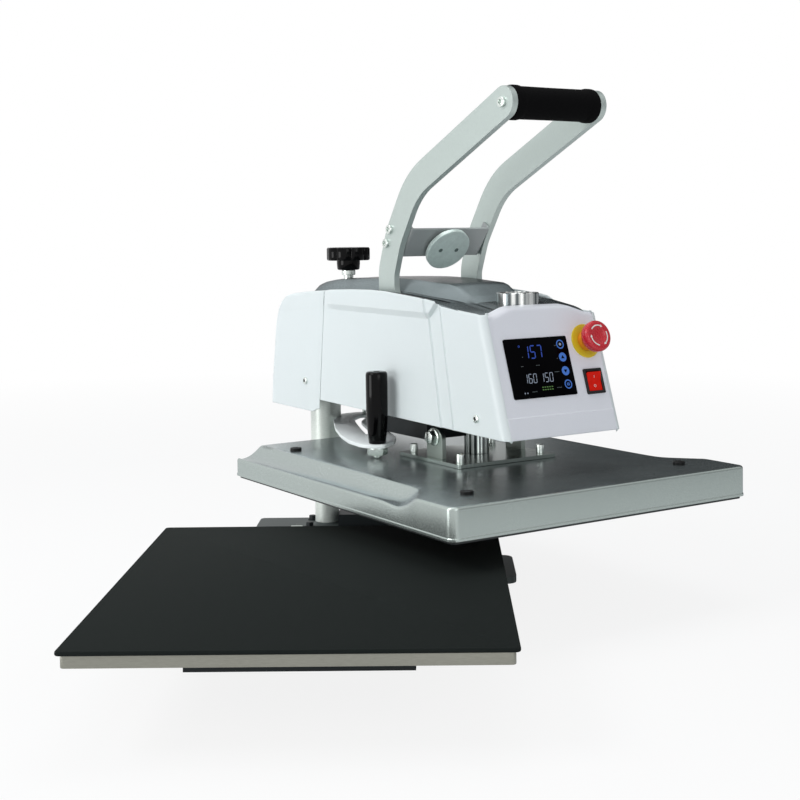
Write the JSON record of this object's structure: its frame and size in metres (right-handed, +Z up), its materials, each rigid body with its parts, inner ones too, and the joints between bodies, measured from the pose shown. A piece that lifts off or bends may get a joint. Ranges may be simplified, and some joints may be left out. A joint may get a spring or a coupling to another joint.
{
  "type": "swing-away heat press",
  "caption": "Bench heat press with a heated platen on a head that swings aside, a slide-out lower bed, a magnet-held two-arm handle and a sloping control panel.",
  "frame": {"origin": "on the axis of the swing post, at the underside of the base plate", "axes": "+Z up; the press faces -Y; +X to the operator's right; the head swings about Z"},
  "size_m": [0.7351, 0.9666, 0.6275],
  "materials": {
    "slate_paint": "slate grey powder coat, fine orange peel",
    "dark_paint": "dark grey satin paint",
    "foot_rubber": "matte black rubber",
    "zinc_steel": "bright zinc plate, turned",
    "bright_steel": "machined steel, satin",
    "arm_steel": "satin plated bar",
    "bronze": "sintered bronze",
    "runner_nylon": "black nylon",
    "bare_aluminium": "machined aluminium plate",
    "pad_silicone": "matte dark silicone sheet",
    "satin_casting": "cast aluminium, satin grey",
    "coated_plate": "dark non-stick coat",
    "magnet_steel": "turned and ground steel",
    "coil_copper": "enamelled copper winding in resin",
    "casing_white": "white semi-gloss moulding",
    "panel_white": "pale semi-gloss moulding",
    "top_sheet": "grey metallic sheet",
    "bracket_white": "white powder coat",
    "display_glass": "glossy black touch display",
    "board_green": "green circuit board",
    "disc_yellow": "yellow disc",
    "neck_orange": "amber moulded neck",
    "button_red": "red mushroom button",
    "rocker_red": "translucent red rocker",
    "black_plastic": "black moulding",
    "knob_black": "polished black phenolic",
    "grip_foam": "black foam rubber tube"
  },
  "bodies": {
    "stand": {"base_plate": "slate_paint", "foot_rear_left": "foot_rubber", "foot_rear_right": "foot_rubber", "foot_front_left": "foot_rubber", "foot_front_right": "foot_rubber", "post": "zinc_steel", "post_brace": "dark_paint", "thrust_collar": "bright_steel", "thrust_washer": "bronze", "slide_rail_left": "bright_steel", "slide_rail_right": "bright_steel"},
    "bed": {"slide_runner_left": "runner_nylon", "slide_runner_right": "runner_nylon", "carriage_plate": "dark_paint", "bed_support": "dark_paint", "lower_platen": "bare_aluminium", "silicone_pad": "pad_silicone"},
    "head": {"swing_sleeve": "bright_steel", "sleeve_bush_lower": "bronze", "sleeve_bush_upper": "bronze", "head_frame": "dark_paint", "swing_block": "bright_steel", "ram_guide": "bronze", "rear_cover": "casing_white", "side_cover_left": "casing_white", "side_cover_right": "casing_white", "top_cover": "top_sheet", "control_panel": "panel_white", "display": "display_glass", "controller_board": "board_green", "stop_disc": "disc_yellow", "stop_switch": "neck_orange", "rocker_bezel": "black_plastic", "magnet_pot": "magnet_steel", "magnet_coil": "coil_copper", "power_inlet": "black_plastic", "swing_bracket": "bracket_white", "swing_grip": "knob_black", "swing_nut": "zinc_steel", "shaft_bush_left": "bronze", "shaft_bush_right": "bronze"},
    "heat_platen": {"platen_cover": "satin_casting", "heating_plate": "coated_plate", "mount_bracket": "bright_steel", "mount_bolt_rear_left": "zinc_steel", "mount_bolt_rear_right": "zinc_steel", "mount_bolt_front_left": "zinc_steel", "mount_bolt_front_right": "zinc_steel", "ram": "zinc_steel"},
    "press_handle": {"crank_shaft": "bright_steel", "handle_arm_left": "arm_steel", "handle_arm_right": "arm_steel", "grip_tube": "bright_steel", "foam_grip": "grip_foam", "armature_disc": "magnet_steel", "cross_plate": "top_sheet"},
    "knob": {"pressure_knob": "knob_black"},
    "nut": {"pressure_nut": "bright_steel"},
    "stop_cap": {"stop_button": "button_red"},
    "rocker": {"power_rocker": "rocker_red"}
  },
  "joints": [
    {"name": "bed_slide", "type": "slide", "parent": "stand", "child": "bed", "axis": [0, 1, 0], "range_m": [0, 0.257]},
    {"name": "head_swing", "type": "hinge", "parent": "stand", "child": "head", "pos_m": [0, 0, 0.2], "axis": [0, 0, 1], "range_deg": [-34, 56]},
    {"name": "handle_hinge", "type": "hinge", "parent": "head", "child": "press_handle", "pos_m": [0.19346, -0.23138, 0.245], "axis": [0.829, 0.5592, 0], "range_deg": [0, 52]},
    {"name": "platen_slide", "type": "slide", "parent": "head", "child": "heat_platen", "axis": [0, 0, -1], "range_m": [0, 0.031], "stiffness_N_per_m": 2000, "springref_m": -0.2},
    {"name": "knob_turn", "type": "hinge", "parent": "head", "child": "knob", "pos_m": [0.03633, 0.00158, 0.4], "axis": [0, 0, 1], "range_deg": [-360, 360]},
    {"name": "nut_travel", "type": "slide", "parent": "head", "child": "nut", "axis": [0, 0, 1], "range_m": [-0.002, 0.002]},
    {"name": "stop_press", "type": "slide", "parent": "head", "child": "stop_cap", "axis": [-0.531, 0.7872, -0.3135], "range_m": [0, 0.004]},
    {"name": "rocker_tilt", "type": "hinge", "parent": "head", "child": "rocker", "pos_m": [0.35241, -0.36153, 0.26326], "axis": [0.829, 0.5592, 0], "range_deg": [-18, 0]}
  ],
  "couplings": [
    {"joint": "handle_hinge", "follows": "platen_slide", "rad_per_m": 29.27},
    {"joint": "knob_turn", "follows": "nut_travel", "rad_per_m": 3141.6}
  ]
}
